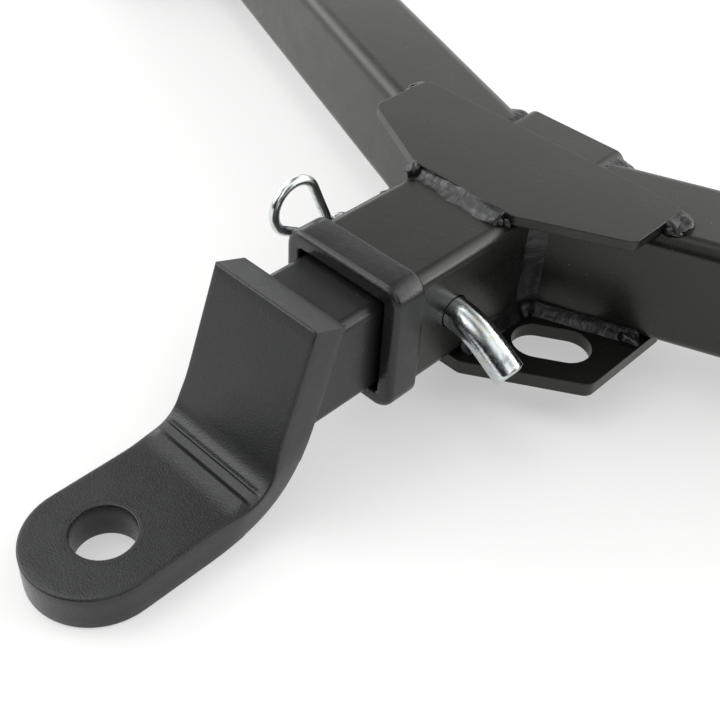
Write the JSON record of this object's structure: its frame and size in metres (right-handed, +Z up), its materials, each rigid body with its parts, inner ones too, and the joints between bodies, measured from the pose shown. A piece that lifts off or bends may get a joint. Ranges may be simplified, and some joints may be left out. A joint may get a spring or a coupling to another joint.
{
  "type": "trailer hitch receiver",
  "caption": "Towbar with a square receiver on two swept arms, a pinned drop ball mount, a bent hitch pin with a spring clip and a slotted safety chain plate.",
  "frame": {"origin": "axis of the ball hole on the tongue's top face", "axes": "+Z up along the ball hole; +Y forward to the vehicle, along the receiver; +X to the right"},
  "size_m": [0.76, 0.4753, 0.085],
  "materials": {
    "towbar_paint": "satin black powder coat",
    "weld_paint": "satin black powder coat over a weld bead",
    "ball_mount_paint": "satin black powder coat with fine texture",
    "zinc_plate": "bright zinc plate",
    "zinc_wire": "bright zinc-plated wire"
  },
  "bodies": {
    "towbar": {"receiver_tube": "towbar_paint", "receiver_collar": "towbar_paint", "left_arm": "towbar_paint", "right_arm": "towbar_paint", "top_gusset_plate": "towbar_paint", "chain_plate": "towbar_paint", "left_mounting_plate": "towbar_paint", "right_mounting_plate": "towbar_paint", "weld_top_plate_front": "weld_paint", "weld_top_plate_left": "weld_paint", "weld_top_plate_right": "weld_paint", "weld_receiver_left": "weld_paint", "weld_receiver_right": "weld_paint", "weld_rear_left": "weld_paint", "weld_rear_right": "weld_paint", "weld_chain_plate_receiver": "weld_paint", "weld_chain_plate_left": "weld_paint", "weld_chain_plate_right": "weld_paint", "weld_mounting_plate_left": "weld_paint", "weld_mounting_plate_right": "weld_paint"},
    "ball_mount": {"ball_mount_tongue": "ball_mount_paint", "ball_mount_shank": "ball_mount_paint", "weld_ball_mount": "weld_paint"},
    "hitch_pin_body": {"hitch_pin": "zinc_plate"},
    "clip_body": {"hitch_clip": "zinc_wire"}
  },
  "joints": [
    {"name": "ball_mount_play", "type": "slide", "parent": "towbar", "child": "ball_mount", "axis": [0, 1, 0], "range_m": [-0.0006, 0.0006]},
    {"name": "hitch_pin_turn", "type": "hinge", "parent": "towbar", "child": "hitch_pin_body", "pos_m": [0, 0.143, 0.03], "axis": [1, 0, 0], "range_deg": [-70, 110]},
    {"name": "clip_pull", "type": "slide", "parent": "hitch_pin_body", "child": "clip_body", "axis": [0, -0.866, 0.5], "range_m": [0, 0.04], "deforming": ["hitch_clip"]}
  ]
}
